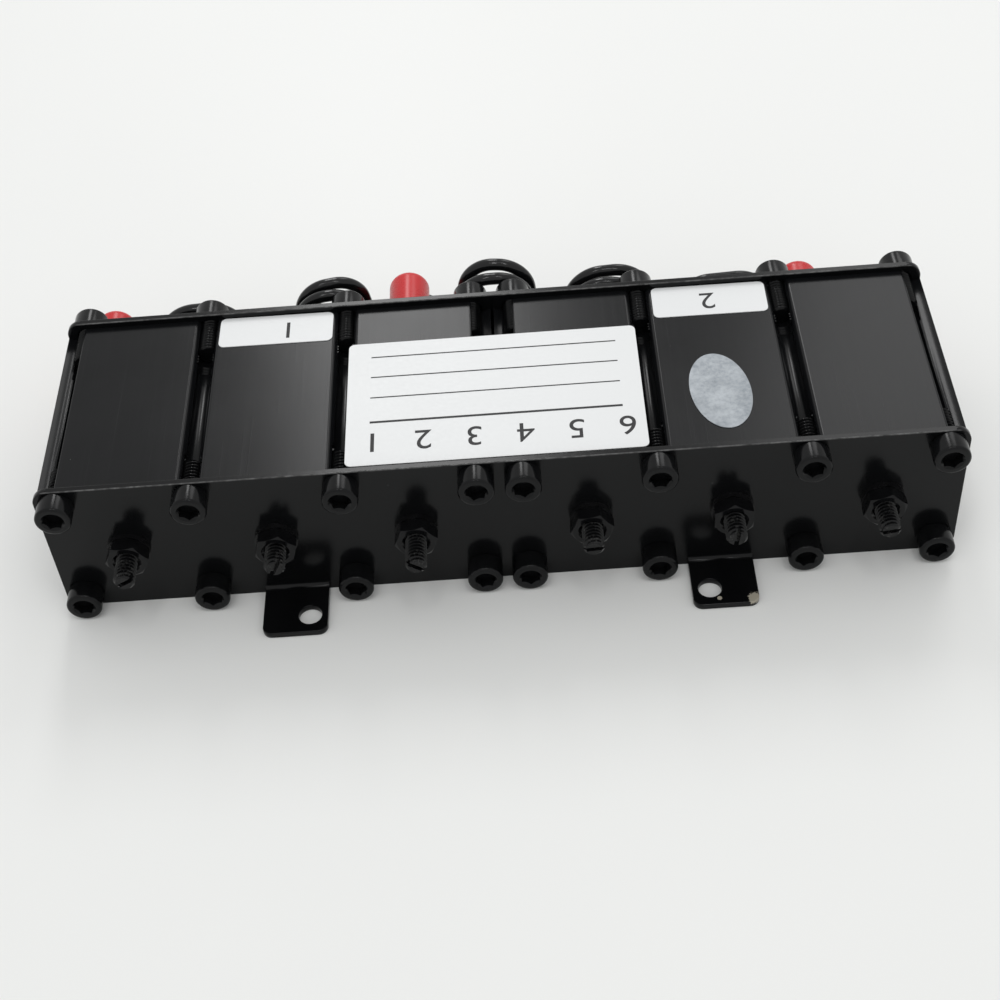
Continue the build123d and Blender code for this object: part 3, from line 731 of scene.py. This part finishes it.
def printedFigures(name, figures, x, y, size):
    p = labelPrint
    curve = bpy.data.curves.new(name, "FONT")
    curve.body = figures
    curve.size = size * mm
    curve.align_x = "CENTER"
    curve.align_y = "CENTER"
    curve.extrude = p["ink"] / 2 * mm
    maker = placed(name, curve)
    mesh = evaluatedMesh(maker)
    bpy.data.objects.remove(maker)
    place = Matrix.Translation((x * mm, (p["middle"] + y) * mm, p["height"] * mm))
    mesh.transform(place @ Matrix.Rotation(radians(p["turn"]), 4, "Z"))
    mesh.materials.clear()
    mesh.materials.append(inkFinish)
    piece = placed(name, mesh)
    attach(piece, "case")


def printedRules():
    p = labelPrint
    bm = bmesh.new()
    for y, width in p["rules"]:
        made = bmesh.ops.create_cube(bm, size=1)["verts"]
        bmesh.ops.scale(bm, verts=made, vec=(p["ruleLength"] * mm, width * mm, p["ink"] * mm))
        bmesh.ops.translate(bm, verts=made, vec=(0, (p["middle"] + y) * mm, p["height"] * mm))
    newPiece("mainRules", bm, "label_white", finish=inkFinish)


for name, values in labelPrint["figures"].items():
    printedFigures(name, *values)
printedRules()
print("label print made")

ground = bmesh.new()
bmesh.ops.create_grid(ground, x_segments=1, y_segments=1, size=4)
floor = placed("floor", meshOf(ground, "floor"))
floor.data.materials.append(paleFloor())

# name: azimuth from straight behind, elevation, distance, width, length, watts
lamps = {
    "panelOne": (-6.5, 43, 1.3, 0.2, 0.5, 2.5),
    "panelTwo": (23.0, 42, 1.3, 0.34, 0.5, 1.4),
    "stripOne": (148.0, 70, 1.3, 0.05, 0.5, 1.0),
    "stripTwo": (204.0, 70, 1.3, 0.05, 0.5, 1.0),
}
for name, (azimuth, elevation, distance, width, length, power) in lamps.items():
    lamp = bpy.data.lights.new(name, "AREA")
    lamp.shape = "RECTANGLE"
    lamp.size = width
    lamp.size_y = length
    lamp.energy = power
    level = cos(radians(elevation))
    away = Vector((
        sin(radians(azimuth)) * level, cos(radians(azimuth)) * level, sin(radians(elevation))))
    holder = placed(name, lamp)
    holder.location = away * distance
    holder.rotation_euler = away.to_track_quat("Z", "Y").to_euler()

softRoom = {"colour": shade(0.985, 0.99, 0.985), "strength": 0.83}
world = bpy.data.worlds.new("softRoom")
bpy.context.scene.world = world
world.use_nodes = True
sky = world.node_tree.nodes["Background"]
sky.inputs["Color"].default_value = softRoom["colour"]
sky.inputs["Strength"].default_value = softRoom["strength"]

viewpoint = {
    "place": (0.0083, -0.2540, 0.2585), "lens": 62.86, "sensor": 36.0, "near": 0.01, "far": 20.0,
    "right": (0.99732, -0.03142, -0.06599), "down": (-0.06824, -0.72373, -0.68670),
    "forward": (-0.02618, 0.68937, -0.72394),
}
camera = placed("camera", bpy.data.cameras.new("camera"))
camera.data.lens = viewpoint["lens"]
camera.data.sensor_width = viewpoint["sensor"]
camera.data.clip_start = viewpoint["near"]
camera.data.clip_end = viewpoint["far"]
turn = Matrix((
    viewpoint["right"], -Vector(viewpoint["down"]), -Vector(viewpoint["forward"]))).transposed()
camera.matrix_world = Matrix.Translation(viewpoint["place"]) @ turn.to_4x4()
bpy.context.scene.camera = camera
bpy.context.scene.view_settings.view_transform = "Standard"
print("floor, light and camera made")
